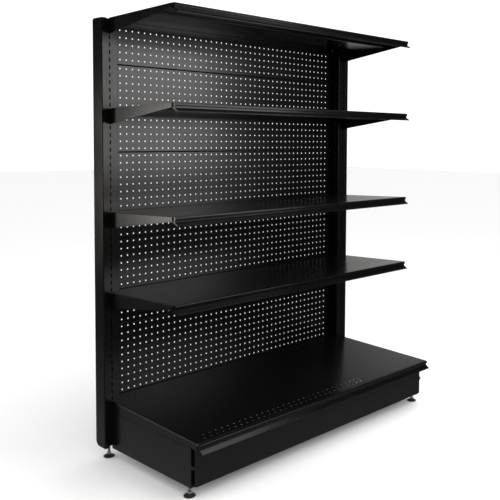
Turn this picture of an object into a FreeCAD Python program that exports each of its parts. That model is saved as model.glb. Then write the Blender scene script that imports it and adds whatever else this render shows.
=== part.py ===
import FreeCAD, Part
import math
import os

# Single-sided steel gondola shelving bay, 1.2 m wide and 1.52 m high.
# Millimetres. X runs along the shelves, -Y is the shopper's side, +Z is up.
# The origin is on the floor, in the middle of the overall width and depth.

# ---- driving dimensions ----
hole_pitch = 25.4
hole_columns = 43
slot_line_margin = 70.0        # last column of holes to the slot line of the upright
panel_rows = [5, 12, 12, 12, 12]
panels_bottom = 152.4
top_panel_height = 138.4
panel_gap = 0.2                # each side of a seam

upright_width = 62.0           # over its end cover
upright_reach = 47.0           # front of the upright, ahead of the back panels
upright_back = 8.0             # back of the upright, behind the face of the panels
upright_bottom = 46.0
upright_top = 1519.0
tube_wall = 2.0
cover_wall = 1.5
cover_lip = 18.0
cover_bottom = 40.0
cover_top = 1521.0
bend_radius = 3.5
foot_corner_radius = 22.0
head_corner_radius = 9.0

slot_width = 5.0
slot_height = 14.0
slot_count = 57
top_slot_z = 1507.9

shelf_depth = 398.0            # face of the panels to the front edge of the shelf
shelf_slots_down = [0, 12, 26, 37]
shelf_tilt = 1.9               # degrees, front edge up
shelf_top_over_slot = 14.0

deck_depth = 522.0
deck_rear_z = 202.0            # top of the deck at the front of the uprights
deck_tilt = -2.0               # degrees, front edge down

base_depth = 490.0
base_bottom = 36.0
base_top = 163.0
kick_gap = 8.5

foot_front_y = -465.0
rear_foot_y = -24.0
foot_front_inset = 13.0        # from the slot line
foot_radius = 19.0
stem_radius = 5.0

channel_reach = 24.5           # ticket channel: its tip ahead of the shelf, and below its top
channel_drop = 28.8
channel_nose = [(0.0, 0.0), (9.0, 0.0), (11.4, -1.0), (12.5, -3.4), (12.5, -7.4), (11.4, -9.4),
                (8.6, -10.4)]
channel_lip = [(8.6, -17.0), (24.0, -27.6), (channel_reach, -channel_drop), (24.0, -30.0),
               (22.4, -30.2), (5.0, -20.2), (0.0, -19.6)]

sheet = 1.2
clearance = 0.4
coat_gap = 0.3                 # between a bracket's edge and the sheet above it
cut_over = 1.0                 # how far a cutting shape runs past what it cuts
slab_ahead = 10.0              # how far the outline of an upright runs past its front

# ---- small parts of the uprights ----
cover_screw_count = 4
cover_screw_head = 4.0
cover_screw_shank = 2.0
cover_screw_length = 8.0
cover_screw_end = 0.06         # share of the upright's length beyond the end screws
cover_screw_off_middle = 1.0   # towards the edge of the lip
cap_depth = 4.0
cap_wall = 3.0
cap_skin = 1.5
rear_plate = 5.0
rear_plate_ahead = 20.0
rear_boss_radius = 9.0
rear_boss_height = 8.0
stem_fit = 0.1                 # threaded holes
stem_play = 0.6                # clear holes
wing_setback = 4.0             # front of the panels' wings behind the front of the uprights
rail_height = 44.0             # lower rail
top_rail_gap = 1.0             # top rail below the top of the uprights

# ---- hooks of the brackets ----
hook_neck = 4.0
hook_lead = 4.0
hook_drop = 8.0
hook_wall = 3.0
hook_gap = 0.3                 # behind the wall of the tube
hook_seat = 0.1                # above the foot of the slot

# ---- upper shelves ----
bracket_wall = 3.0
bracket_rear_height = 54.0
bracket_front_height = 15.0
bracket_setback = 1.0          # front of the bracket behind the front of the shelf
ledge_width = 12.0
ledge_wall = 2.0
tray_side_flange = 11.0
tray_front_flange = 17.0
tray_front_return = 24.0
tray_return_inset = 15.0
tray_rear_flange = 24.0
tray_rear = 6.0
tray_shoulder_gap = 1.5
tray_wing_gap = 1.0
stiffener_front = -290.0
stiffener_back = -165.0
stiffener_inset = 18.0
stiffener_drop = 14.0
hat_lip = 12.0

# ---- base ----
base_wall = 2.0
base_top_flange = 26.0
base_flange = 34.0
base_hook_slots = [54, 56]
base_hook_setback = 0.5
nut_half = 9.0
nut_height = 9.0
kick_inset = 6.0
kick_tab_inset = 20.0
kick_tab_levels = [68.0, 132.0]
kick_tab_wall = 2.0
kick_tab_high = 9.0
kick_tab_low = 8.0
kick_tab_hook = 17.0
kick_tab_behind = 5.0
kick_tab_grip = 2.3
tab_slot_half = 11.0
tab_slot_side = 2.0
tab_slot_behind = 3.0
kick_bottom = 38.0
kick_corner = 9.0
kick_return = 7.0
kick_return_inset = 12.0
corner_tab_low = 96.0
corner_tab_high = 108.0
corner_tab_gap = 0.2
deck_overhang = 1.0
deck_front_flange = 19.0
deck_rear_flange = 30.0
deck_rear = 4.0
deck_side_drop = 0.4           # side plates stop this far below the top of the deck
deck_side_return = 16.0
deck_return_setback = 30.0
deck_stiffeners = {"front": (-400.0, -340.0), "rear": (-220.0, -160.0)}
deck_stiffener_inset = 30.0
deck_stiffener_drop = 16.0

# ---- levelling feet ----
pad_edge = 3.5
pad_top_radius = 8.0
pad_height = 10.0
pad_step = 1.0
collar_radius = 8.0
collar_height = 6.0
stem_lengths = {"front": 62.0, "rear": 72.0}
hole_reach = 200.0             # length of the shapes that cut stem holes

# ---- derived places ----
hole_field = hole_pitch * (hole_columns - 1)
slot_line = hole_field / 2 + slot_line_margin
outer_x = slot_line + upright_width / 2
inner_x = slot_line - upright_width / 2
back_y = upright_back + cover_wall
tip_ahead = deck_depth + channel_reach - upright_reach
tip_turn = math.radians(abs(deck_tilt))
front_y = -(upright_reach + tip_ahead * math.cos(tip_turn) - channel_drop * math.sin(tip_turn))
panel_y = -(front_y + back_y) / 2
tray_half = slot_line - bracket_wall / 2 - clearance
rear_part_half = inner_x - clearance - sheet - tray_wing_gap
tray_shoulder = upright_reach + tray_shoulder_gap
kick_half = slot_line - kick_inset
kick_tab_x = slot_line - kick_tab_inset
kick_front = -base_depth - kick_gap - sheet

SIDES = {"left": -1, "right": 1}

os.makedirs("parts", exist_ok=True)


def box(x0, x1, y0, y1, z0, z1):
    """Block between two corners; y is measured from the face of the back panels."""
    low = FreeCAD.Vector(min(x0, x1), min(y0, y1) + panel_y, min(z0, z1))
    return Part.makeBox(abs(x1 - x0), abs(y1 - y0), abs(z1 - z0), low)


def rod(radius, x, y, z0, z1):
    """Upright cylinder."""
    return Part.makeCylinder(radius, z1 - z0, FreeCAD.Vector(x, y + panel_y, z0))


def cone(r0, r1, x, y, z0, z1):
    return Part.makeCone(r0, r1, z1 - z0, FreeCAD.Vector(x, y + panel_y, z0))


def side_plate(points, x0, x1):
    """Plate with an outline in the side view, points as (y, z), between two x."""
    start = min(x0, x1)
    corners = [FreeCAD.Vector(start, y + panel_y, z) for y, z in points]
    wire = Part.makePolygon(corners + corners[:1])
    return Part.Face(wire).extrude(FreeCAD.Vector(abs(x1 - x0), 0, 0))


def fuse(shapes):
    result = shapes[0].fuse(shapes[1:]) if len(shapes) > 1 else shapes[0]
    return result.removeSplitter()


def tilt(shape, degrees, z):
    """Turn a shape about the line where the front of the uprights meets height z."""
    turned = shape.copy()
    pivot = FreeCAD.Vector(0, panel_y - upright_reach, z)
    turned.rotate(pivot, FreeCAD.Vector(1, 0, 0), -degrees)
    return turned


def save(name, shape):
    shape.exportStep("parts/" + name + ".step")


# ---- uprights, their covers, caps and rear foot plates ----
def slot_z(index):
    return top_slot_z - hole_pitch * index


def along(edge, axis):
    """True for a straight edge that runs along an axis, given as 0, 1 or 2."""
    return abs(edge.tangentAt(edge.FirstParameter)[axis]) > 0.99


def rounded_side(inset):
    """Slab with the side outline of the upright, its rear corners rounded."""
    rear = panel_y + back_y - inset
    low, high = cover_bottom + inset, cover_top - inset
    start = panel_y - upright_reach - slab_ahead
    corner = FreeCAD.Vector(-2 * outer_x, start, low)
    slab = Part.makeBox(4 * outer_x, rear - start, high - low, corner)
    for z, radius in ((low, foot_corner_radius), (high, head_corner_radius)):
        edges = [e for e in slab.Edges if along(e, 0) and abs(e.CenterOfMass.y - rear) < 0.01
                 and abs(e.CenterOfMass.z - z) < 0.01]
        slab = slab.makeFillet(radius - inset, edges)
    return slab


def upright(side):
    x_out = side * (outer_x - cover_wall)
    x_in = side * inner_x
    tube = box(x_out, x_in, -upright_reach, upright_back, upright_bottom, upright_top)
    tube = tube.makeFillet(bend_radius - cover_wall, [e for e in tube.Edges if along(e, 2)])
    bore = box(x_out - side * tube_wall, x_in + side * tube_wall, tube_wall - upright_reach,
               upright_back - tube_wall, upright_bottom - cut_over, upright_top + cut_over)
    slots = [box(side * slot_line - slot_width / 2, side * slot_line + slot_width / 2,
                 -upright_reach - cut_over, -upright_reach + tube_wall + cut_over,
                 slot_z(i) - slot_height / 2, slot_z(i) + slot_height / 2)
             for i in range(slot_count)]
    return tube.common(rounded_side(cover_wall)).cut([bore] + slots + cover_screw_holes(side))


def cover_screw_places(side):
    x = side * (outer_x - cover_lip / 2 - cover_screw_off_middle)
    length = upright_top - upright_bottom
    first = upright_bottom + length * cover_screw_end
    step = length * (1 - 2 * cover_screw_end) / (cover_screw_count - 1)
    return [(x, first + step * k) for k in range(cover_screw_count)]


def cover_screw(x, z):
    """Countersunk screw, its head flush with the rear lip of the cover."""
    back = panel_y + back_y
    axis = FreeCAD.Vector(0, -1, 0)
    head = Part.makeCone(cover_screw_head, cover_screw_shank, cover_wall,
                         FreeCAD.Vector(x, back, z), axis)
    shank = Part.makeCylinder(cover_screw_shank, cover_screw_length,
                              FreeCAD.Vector(x, back - cover_wall, z), axis)
    return head.fuse(shank).removeSplitter()


def cover_screw_holes(side):
    return [cover_screw(x, z) for x, z in cover_screw_places(side)]


def end_cover(side):
    """Pressed pan over the outer side, with rounded bends and a lip all round."""
    x_face = side * outer_x
    x_lip = side * (outer_x - cover_lip)
    outside = box(x_face, x_lip, -upright_reach - cover_wall, back_y, cover_bottom, cover_top)
    inside = box(x_face - side * cover_wall, x_lip - side * cut_over, -upright_reach, upright_back,
                 cover_bottom + cover_wall, cover_top - cover_wall)

    def bends(shape, x):
        return [e for e in shape.Edges if along(e, 2) and abs(e.CenterOfMass.x - x) < 0.01]

    outside = outside.makeFillet(bend_radius, bends(outside, x_face))
    inside = inside.makeFillet(bend_radius - cover_wall,
                               bends(inside, x_face - side * cover_wall))
    hollow = inside.common(rounded_side(cover_wall))
    return outside.common(rounded_side(0)).cut([hollow] + cover_screw_holes(side))


def upright_cap(side):
    """Plug that closes the top of the tube."""
    x_out = side * (outer_x - cover_wall - tube_wall)
    x_in = side * (inner_x + tube_wall)
    plug = box(x_out, x_in, tube_wall - upright_reach, upright_back - tube_wall,
               upright_top - cap_depth, upright_top)
    hollow = box(x_out - side * cap_wall, x_in + side * cap_wall,
                 tube_wall + cap_wall - upright_reach, upright_back - tube_wall - cap_wall,
                 upright_top - cap_depth - cut_over, upright_top - cap_skin)
    return plug.cut(hollow).common(rounded_side(cover_wall))


def rear_foot_place(side):
    return side * slot_line, rear_foot_y


def rear_foot_plate(side):
    x, y = rear_foot_place(side)
    x_out = side * (outer_x - cover_wall - tube_wall)
    x_in = side * (inner_x + tube_wall)
    plate_top = upright_bottom + rear_plate
    plate = box(x_out, x_in, tube_wall - upright_reach, rear_foot_y + rear_plate_ahead,
                upright_bottom, plate_top)
    boss = rod(rear_boss_radius, x, y, plate_top, plate_top + rear_boss_height)
    return fuse([plate, boss]).cut(rod(stem_radius + stem_fit, x, y, 0, hole_reach))


# ---- back panels and the rails above and below them ----
def back_panel(z0, z1):
    """Tray with flanges back at top and bottom and forward along the uprights."""
    half = inner_x - clearance
    low, high = z0 + panel_gap, z1 - panel_gap
    face = box(-half, half, 0, sheet, low, high)
    top = box(-half, half, 0, upright_back, high - sheet, high)
    bottom = box(-half, half, 0, upright_back, low, low + sheet)
    wings = [box(s * half, s * (half - sheet), wing_setback - upright_reach, sheet, low, high)
             for s in (-1, 1)]
    return fuse([face, top, bottom] + wings)


def panel_levels():
    """Bottom and top height of each back panel, top panel first."""
    levels = []
    z = panels_bottom
    for rows in reversed(panel_rows[1:]):
        levels.append((z, z + rows * hole_pitch))
        z = z + rows * hole_pitch
    levels.append((z, z + top_panel_height))
    return list(reversed(levels))


def channel_rail(z0, z1):
    """Channel between the uprights, its web towards the front."""
    half = inner_x - clearance
    web = box(-half, half, -sheet, sheet, z0, z1)
    flanges = [box(-half, half, 0, upright_back, z, z + 2 * sheet)
               for z in (z0, z1 - 2 * sheet)]
    return fuse([web] + flanges)


# ---- hooks that hang a bracket in the slots ----
def hooks(x0, x1, slot_indexes):
    """Necks through the slots, each with a tongue behind the wall of the tube."""
    shapes = []
    for index in slot_indexes:
        foot = slot_z(index) - slot_height / 2 + hook_seat
        behind = -upright_reach + tube_wall + hook_gap
        back = behind + hook_wall
        shapes.append(box(x0, x1, -upright_reach - hook_lead, back, foot, foot + hook_neck))
        shapes.append(box(x0, x1, behind, back, foot - hook_drop, foot + hook_neck))
    return shapes


# ---- upper shelves ----
def shelf_z(level):
    return slot_z(shelf_slots_down[level]) + shelf_top_over_slot


def shelf_tray(z):
    """Folded sheet tray, its rear corners cut away to pass between the uprights."""
    front = -shelf_depth
    top = fuse([box(-tray_half, tray_half, front, -tray_shoulder, z - sheet, z),
                box(-rear_part_half, rear_part_half, -tray_shoulder, -tray_rear, z - sheet, z)])
    front_flange = box(-tray_half, tray_half, front, front + sheet, z - tray_front_flange, z)
    return_half = tray_half - tray_return_inset
    front_return = box(-return_half, return_half, front, front + tray_front_return,
                       z - tray_front_flange, z - tray_front_flange + sheet)
    rear_flange = box(-rear_part_half, rear_part_half, -tray_rear - sheet, -tray_rear,
                      z - tray_rear_flange, z)
    side_flanges = [box(s * tray_half, s * (tray_half - sheet), front, -tray_shoulder,
                        z - tray_side_flange, z) for s in (-1, 1)]
    shoulder_flanges = [box(s * rear_part_half, s * tray_half, -tray_shoulder - sheet,
                            -tray_shoulder, z - tray_side_flange, z) for s in (-1, 1)]
    flanges = [front_flange, front_return, rear_flange] + side_flanges + shoulder_flanges
    return tilt(fuse([top] + flanges), shelf_tilt, z)


def hat_channel(z, front, back, half, drop):
    """Stiffening channel welded under a sheet, open side up."""
    top = z - sheet
    web = box(-half, half, front, back, top - drop, top - drop + sheet)
    walls = [box(-half, half, y, y + sheet, top - drop, top) for y in (front, back - sheet)]
    lips = [box(-half, half, y0, y1, top - sheet, top)
            for y0, y1 in ((front - hat_lip, front + cut_over), (back - cut_over, back + hat_lip))]
    return fuse([web] + walls + lips)


def shelf_bracket(side, level):
    """Tapered end bracket with a ledge for the tray and two hooks."""
    z = shelf_z(level)
    slope = math.tan(math.radians(shelf_tilt))
    rear = -upright_reach - clearance
    front = -shelf_depth + bracket_setback

    def on_slope(y, drop):
        return z + (-upright_reach - y) * slope - drop

    x_out = side * (slot_line + bracket_wall / 2)
    x_in = side * (slot_line - bracket_wall / 2)
    outline = [(rear, on_slope(rear, coat_gap)), (front, on_slope(front, coat_gap)),
               (front, on_slope(front, bracket_front_height)),
               (rear, on_slope(rear, bracket_rear_height))]
    plate = side_plate(outline, x_out, x_in)
    ledge_rear, ledge_front = rear - ledge_wall, front + ledge_wall
    ledge_top = tray_side_flange + clearance
    ledge_foot = ledge_top + ledge_wall
    ledge_line = [(ledge_rear, on_slope(ledge_rear, ledge_top)),
                  (ledge_front, on_slope(ledge_front, ledge_top)),
                  (ledge_front, on_slope(ledge_front, ledge_foot)),
                  (ledge_rear, on_slope(ledge_rear, ledge_foot))]
    ledge = side_plate(ledge_line, x_in, x_in - side * ledge_width)
    slot = shelf_slots_down[level]
    return fuse([plate, ledge] + hooks(x_out, x_in, [slot, slot + 1]))


def channel_profile(front, z):
    """Ticket channel in the side view: nose, recess and flaring lower lip."""
    return [(front - reach, z + drop) for reach, drop in channel_nose + channel_lip]


def ticket_channel(front, z, degrees):
    profile = side_plate(channel_profile(front, z), -tray_half, tray_half)
    return tilt(profile, degrees, z)


# ---- base ----
def base_bracket(side):
    """Pressed side of the base: plate with inward flanges and rear hooks."""
    x_out = side * (slot_line + bracket_wall / 2)
    x_in = x_out - side * base_wall
    rear = -upright_reach - clearance
    plate = box(x_out, x_in, -base_depth, rear, base_bottom, base_top)
    top = box(x_out, x_out - side * base_top_flange, -base_depth, rear,
              base_top - base_wall, base_top)
    bottom = box(x_out, x_out - side * base_flange, -base_depth, rear,
                 base_bottom, base_bottom + base_wall)
    front = box(x_out, x_out - side * base_flange, -base_depth, -base_depth + base_wall,
                base_bottom, base_top)
    hook_set = hooks(x_out, side * (slot_line - base_hook_setback), base_hook_slots)
    shape = fuse([plate, top, bottom, front] + hook_set)
    x, y = front_foot_place(side)
    slot_out = side * (kick_tab_x + tab_slot_side)
    slot_in = side * (kick_tab_x - kick_tab_wall - tab_slot_side)
    tab_slots = [box(slot_out, slot_in, -base_depth - cut_over, -base_depth + tab_slot_behind,
                     z - tab_slot_half, z + tab_slot_half) for z in kick_tab_levels]
    return shape.cut([rod(stem_radius + stem_play, x, y, 0, base_top / 2)] + tab_slots)


def front_foot_place(side):
    return side * (slot_line - foot_front_inset), foot_front_y


def front_foot_nut(side):
    """Square weld nut on the lower flange of the base bracket."""
    x, y = front_foot_place(side)
    flange_top = base_bottom + base_wall
    nut = box(x - nut_half, x + nut_half, y - nut_half, y + nut_half,
              flange_top, flange_top + nut_height)
    return nut.cut(rod(stem_radius + stem_fit, x, y, 0, hole_reach))


def kick_plate():
    """Front plate of the base with top and bottom returns and end tabs."""
    back = kick_front + sheet
    plate = box(-kick_half, kick_half, kick_front, back, kick_bottom, base_top)
    lower_ends = [e for e in plate.Edges if abs(e.CenterOfMass.z - kick_bottom) < 0.01
                  and abs(e.tangentAt(e.FirstParameter).y) > 0.99]
    plate = plate.makeFillet(kick_corner, lower_ends)
    return_half = kick_half - kick_return_inset
    returns = [box(-return_half, return_half, kick_front, back + kick_return, z, z + sheet)
               for z in (kick_bottom, base_top - sheet)]
    shapes = [plate] + returns
    for s in (-1, 1):
        for z in kick_tab_levels:
            x0, x1 = s * kick_tab_x, s * (kick_tab_x - kick_tab_wall)
            shapes.append(box(x0, x1, kick_front, kick_tab_behind - base_depth,
                              z - kick_tab_low, z + kick_tab_high))
            shapes.append(box(x0, x1, kick_tab_grip - base_depth, kick_tab_behind - base_depth,
                              z - kick_tab_hook, z + kick_tab_high))
        shapes.append(box(s * (kick_half - kick_tab_wall), s * (slot_line + deck_overhang),
                          kick_front, -base_depth - corner_tab_gap,
                          corner_tab_low, corner_tab_high))
    return fuse(shapes)


def base_deck():
    """Lower shelf of the base, sloping to the front, its side flanges level below."""
    z = deck_rear_z
    half = slot_line + deck_overhang
    front = -deck_depth
    slope = math.tan(math.radians(deck_tilt))
    top = fuse([box(-half, half, front, -tray_shoulder, z - sheet, z),
                box(-rear_part_half, rear_part_half, -tray_shoulder, -deck_rear, z - sheet, z)])
    front_flange = box(-half, half, front, front + sheet, z - deck_front_flange, z)
    rear_flange = box(-rear_part_half, rear_part_half, -deck_rear - sheet, -deck_rear,
                      z - deck_rear_flange, z)
    shapes = [tilt(fuse([top, front_flange, rear_flange]), deck_tilt, z)]
    bottom = base_top + clearance

    def on_slope(y):
        return z + (-upright_reach - y) * slope - deck_side_drop

    side_front = front + deck_overhang
    outline = [(-tray_shoulder, bottom), (side_front, bottom), (side_front, on_slope(side_front)),
               (-tray_shoulder, on_slope(-tray_shoulder))]
    for s in (-1, 1):
        shapes.append(side_plate(outline, s * half, s * (half - sheet)))
        shapes.append(box(s * half, s * (half - deck_side_return), front + deck_return_setback,
                          -tray_shoulder, bottom, bottom + sheet))
    return fuse(shapes)


def deck_stiffener(front, back):
    channel = hat_channel(deck_rear_z, front, back, kick_half - deck_stiffener_inset,
                          deck_stiffener_drop)
    return tilt(channel, deck_tilt, deck_rear_z)


# ---- levelling feet ----
def foot_pad(x, y):
    """Round glide with a sloping top."""
    return fuse([rod(foot_radius, x, y, 0, pad_edge),
                 cone(foot_radius - pad_step, pad_top_radius, x, y, pad_edge, pad_height)])


def foot_stem(x, y, length):
    """Threaded stem with a hexagon collar on the pad."""
    corners = []
    for k in range(7):
        angle = math.radians(60 * k)
        corners.append(FreeCAD.Vector(x + collar_radius * math.cos(angle),
                                      y + panel_y + collar_radius * math.sin(angle), pad_height))
    collar = Part.Face(Part.makePolygon(corners)).extrude(FreeCAD.Vector(0, 0, collar_height))
    return fuse([collar, rod(stem_radius, x, y, pad_height, pad_height + length)])


# ---- write every piece ----
for side_name, side in SIDES.items():
    save("upright_" + side_name, upright(side))
    save("end_cover_" + side_name, end_cover(side))
    save("upright_cap_" + side_name, upright_cap(side))
    save("rear_foot_plate_" + side_name, rear_foot_plate(side))
    save("base_bracket_" + side_name, base_bracket(side))
    save("front_foot_nut_" + side_name, front_foot_nut(side))
    places = {"front": front_foot_place(side), "rear": rear_foot_place(side)}
    for end_name, (foot_x, foot_y) in places.items():
        save("foot_pad_" + end_name + "_" + side_name, foot_pad(foot_x, foot_y))
        stem = foot_stem(foot_x, foot_y, stem_lengths[end_name])
        save("foot_stem_" + end_name + "_" + side_name, stem)

screws = []
for side in SIDES.values():
    screws += [cover_screw(x, z) for x, z in cover_screw_places(side)]
save("end_cover_screws", Part.makeCompound(screws))

for number, (low, high) in enumerate(panel_levels(), 1):
    save("back_panel_" + str(number), back_panel(low, high))
panels_top = panel_levels()[0][1]
save("top_rail", channel_rail(panels_top, upright_top - top_rail_gap))
save("bottom_rail", channel_rail(panels_bottom - rail_height, panels_bottom))

save("kick_plate", kick_plate())
save("base_deck", base_deck())
save("base_deck_ticket_channel", ticket_channel(-deck_depth, deck_rear_z, deck_tilt))
for end_name, (front, back) in deck_stiffeners.items():
    save("base_deck_stiffener_" + end_name, deck_stiffener(front, back))

for level in range(len(shelf_slots_down)):
    name = "shelf_" + str(level + 1)
    z = shelf_z(level)
    save(name, shelf_tray(z))
    stiffener = hat_channel(z, stiffener_front, stiffener_back, tray_half - stiffener_inset,
                            stiffener_drop)
    save(name + "_stiffener", tilt(stiffener, shelf_tilt, z))
    save(name + "_ticket_channel", ticket_channel(-shelf_depth, z, shelf_tilt))
    for side_name, side in SIDES.items():
        save(name + "_bracket_" + side_name, shelf_bracket(side, level))

print("origin to panel face", round(panel_y, 2), "overall depth", round(back_y - front_y, 2))
print("shelf heights", [round(shelf_z(k), 1) for k in range(len(shelf_slots_down))])
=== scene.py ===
"""Looks of a single-sided steel gondola shelving bay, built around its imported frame."""

import math

import bmesh
import bpy
from bpy.props import FloatProperty, FloatVectorProperty, IntProperty, PointerProperty
from mathutils import Matrix, Vector


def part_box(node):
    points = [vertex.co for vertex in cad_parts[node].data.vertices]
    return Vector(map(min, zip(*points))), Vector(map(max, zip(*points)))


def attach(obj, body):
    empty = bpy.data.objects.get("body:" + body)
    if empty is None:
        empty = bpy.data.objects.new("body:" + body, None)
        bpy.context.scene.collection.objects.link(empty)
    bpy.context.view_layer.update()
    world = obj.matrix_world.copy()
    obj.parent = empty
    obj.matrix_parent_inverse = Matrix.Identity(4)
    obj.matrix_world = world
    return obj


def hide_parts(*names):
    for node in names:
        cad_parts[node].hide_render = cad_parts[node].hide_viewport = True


bl_info = {
    "name": "Gondola shelving bay",
    "version": (1, 0, 0),
    "blender": (4, 5, 0),
    "location": "3D View > Sidebar > Gondola",
    "description": "Builds the folded sheet, perforations, channels and feet of a shelving bay",
    "category": "Object",
}

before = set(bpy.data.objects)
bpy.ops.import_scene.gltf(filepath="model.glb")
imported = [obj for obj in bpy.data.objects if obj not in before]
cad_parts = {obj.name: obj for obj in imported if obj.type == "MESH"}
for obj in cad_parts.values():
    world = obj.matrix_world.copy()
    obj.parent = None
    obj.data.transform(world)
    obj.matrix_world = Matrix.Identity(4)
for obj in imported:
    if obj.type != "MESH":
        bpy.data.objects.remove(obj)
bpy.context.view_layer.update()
MM = 0.001

# ---- places read from the frame ----
COVER_LOW, COVER_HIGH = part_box("end_cover_right")
PANEL_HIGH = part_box("back_panel_3")[1]
DECK_LOW, DECK_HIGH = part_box("base_deck")
SIDES = {"left": -1, "right": 1}
SHELVES = ("shelf_1", "shelf_2", "shelf_3", "shelf_4")
PANELS = ("back_panel_1", "back_panel_2", "back_panel_3", "back_panel_4", "back_panel_5")
FEET = ("front_left", "front_right", "rear_left", "rear_right")

SHEET = 1.2 * MM
PANEL_FLANGE = 8 * MM                      # flanges behind the face of a back panel
PANEL_Y = PANEL_HIGH.y - PANEL_FLANGE      # face of the back panels
TUBE_FRONT_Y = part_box("upright_right")[0].y
REACH = PANEL_Y - TUBE_FRONT_Y             # uprights stand this far ahead of the panels
SHELF_TILT = math.radians(1.9)             # front edge up
DECK_TILT = math.radians(-2.0)             # front edge down
SHELF_DEPTH = 398 * MM
DECK_DEPTH = 522 * MM

# ---- sizes of the folds, in metres; y runs back from the panels' face ----
PANEL_LEAN = 0.19 * MM                     # flanges of two panels lean together at the back
REAR_PART_HALF = PANEL_HIGH.x - SHEET - 1.0 * MM
SHOULDER = -REACH - 1.5 * MM               # rear of a tray's wide part
SHELF_REAR = -6 * MM
SHELF_RETURN = 24 * MM                     # front flange turned back under the shelf
DECK_REAR = -4 * MM
DECK_FRONT_FLANGE = 19 * MM
DECK_REAR_FLANGE = 30 * MM
DECK_RETURN = 16 * MM                      # foot of a side flange, turned inwards
DECK_HOLES_FRONT = 22 * MM                 # first row of small holes behind the front edge
DECK_HOLES_APART = 24 * MM
SHELF_STIFFENER = (-290 * MM, -165 * MM)   # front and rear of its web
SHELF_STIFFENER_DROP = 14 * MM
DECK_STIFFENERS = {"base_deck_stiffener_front": -400 * MM, "base_deck_stiffener_rear": -220 * MM}
DECK_STIFFENER_WEB = 60 * MM
DECK_STIFFENER_DROP = 16 * MM
STIFFENER_LIP = 12 * MM
STIFFENER_BEND = 2.2 * MM
LEAST_BEND = 0.2 * MM                      # inside of a tube's corner
# Side outline of a ticket channel: millimetres ahead of the tray's front edge, height over
# the tray's top, and the radius of that corner.
CHANNEL_OUTLINE = ((0.0, 0.0, 0), (12.5, 0.0, 3.4), (12.5, -10.4, 2.4), (8.6, -10.4, 0.5),
                   (8.6, -17.2, 1.2), (24.2, -28.0, 0.9), (24.0, -30.1, 0.9),
                   (22.4, -30.1, 0.9), (5.0, -20.0, 1.0), (0.0, -19.6, 0))

# ---- hardware ----
SCREWS_IN_LINE = 4
SCREW_HEAD_RADIUS = 4 * MM
SCREW_HEAD_DEPTH = 1.5 * MM
SCREW_LENGTH = 8 * MM
SCREW_RECESS = 1.1 * MM
STEM_RADIUS = 5 * MM
STEM_COLLAR_RADIUS = 8 * MM
STEM_COLLAR_HEIGHT = 6 * MM
THREAD_PITCH = 1.5 * MM
THREAD_DEPTH = 0.8 * MM
RIDGE_RADIUS = 0.5 * MM
RAIL_EDGE = 0.9 * MM                       # rounding of the cut edges of rails
CAP_EDGE = 0.4 * MM
PLATE_EDGE = 0.8 * MM                      # and of foot plates, base brackets and nuts

# ---- how finely things are made ----
NEAR = 0.1 * MM                            # a corner this close to a place is at it
SAME = 0.001 * MM                          # points closer than this are one
ROUND_HOLE = 0.49                          # corner radius over width of a round hole
SLOT_CORNER = 0.25                         # the same of a bracket slot


def size(name, text, default, **more):
    """A length that a user may change."""
    return FloatProperty(name=name, description=text, default=default, min=0.0,
                         subtype="DISTANCE", unit="LENGTH", precision=4, **more)


def colour(name, text, default):
    return FloatVectorProperty(name=name, description=text, default=default, size=4,
                               min=0.0, max=1.0, subtype="COLOR")


class GondolaPanelSettings(bpy.types.PropertyGroup):
    hole_pitch: size("Hole pitch", "Distance between holes both ways", 25.4 * MM)
    hole_width: size("Hole width", "Diameter of a round hole", 5.7 * MM)
    hole_columns: IntProperty(name="Columns", description="Holes along a panel", default=43, min=1)
    bend: size("Bend", "Inner radius of the folds of a panel", 1.2 * MM)


class GondolaUprightSettings(bpy.types.PropertyGroup):
    slot_width: size("Slot width", "Width of a bracket slot", 5 * MM)
    slot_height: size("Slot height", "Height of a bracket slot", 14 * MM)
    slot_count: IntProperty(name="Slots", description="Slots in one upright", default=57, min=1)
    top_slot: size("Top slot", "Height of the middle of the top slot", 1507.9 * MM)
    wall: size("Wall", "Wall of the tube", 2 * MM)
    tube_bend: size("Tube bend", "Outer radius of the tube's bends", 2.2 * MM)
    cover_bend: size("Cover bend", "Outer radius of the end cover's bends", 3 * MM)
    cover_wall: size("Cover wall", "Sheet of the end cover", 1.5 * MM)
    head_corner: size("Head corner", "Rear corner radius at the top", 9 * MM)
    foot_corner: size("Foot corner", "Rear corner radius at the bottom", 22 * MM)


class GondolaShelfSettings(bpy.types.PropertyGroup):
    bend: size("Bend", "Outer radius of the folds of a shelf", 2.4 * MM)
    side_flange: size("Side flange", "Depth of the shelf's side flanges", 11 * MM)
    front_flange: size("Front flange", "Depth of the shelf's front flange", 17 * MM)
    rear_flange: size("Rear flange", "Depth of the shelf's rear flange", 24 * MM)
    deck_hole: size("Deck hole", "Diameter of the small holes along the deck's front", 6.2 * MM)
    edge: size("Edge", "Rounding of cut edges on brackets and plates", 0.5 * MM)


class GondolaFinishSettings(bpy.types.PropertyGroup):
    coat: colour("Powder coat", "Satin black of the steel sheet", (0.0022, 0.0022, 0.0021, 1.0))
    coat_light: colour("Powder coat, dusty", "Where a thin film of dust lightens it",
                       (0.0032, 0.0031, 0.0030, 1.0))
    channel: colour("Channel", "Smoother black of the ticket channels", (0.0022, 0.0022, 0.0022, 1.0))
    plastic: colour("Plastic", "Black of the caps and glides", (0.0160, 0.0160, 0.0165, 1.0))
    plastic_worn: colour("Plastic, worn", "Where the plastic is scuffed",
                         (0.045, 0.045, 0.045, 1.0))
    zinc: colour("Zinc", "Bright plated steel", (0.62, 0.62, 0.60, 1.0))
    zinc_dull: colour("Zinc, dull", "Duller spangles of the plating", (0.42, 0.42, 0.43, 1.0))
    floor: colour("Floor", "Pale studio floor", (0.86, 0.86, 0.86, 1.0))
    floor_shade: colour("Floor, darker", "Faint clouds in the floor",
                        (0.8471, 0.8471, 0.8471, 1.0))


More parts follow.
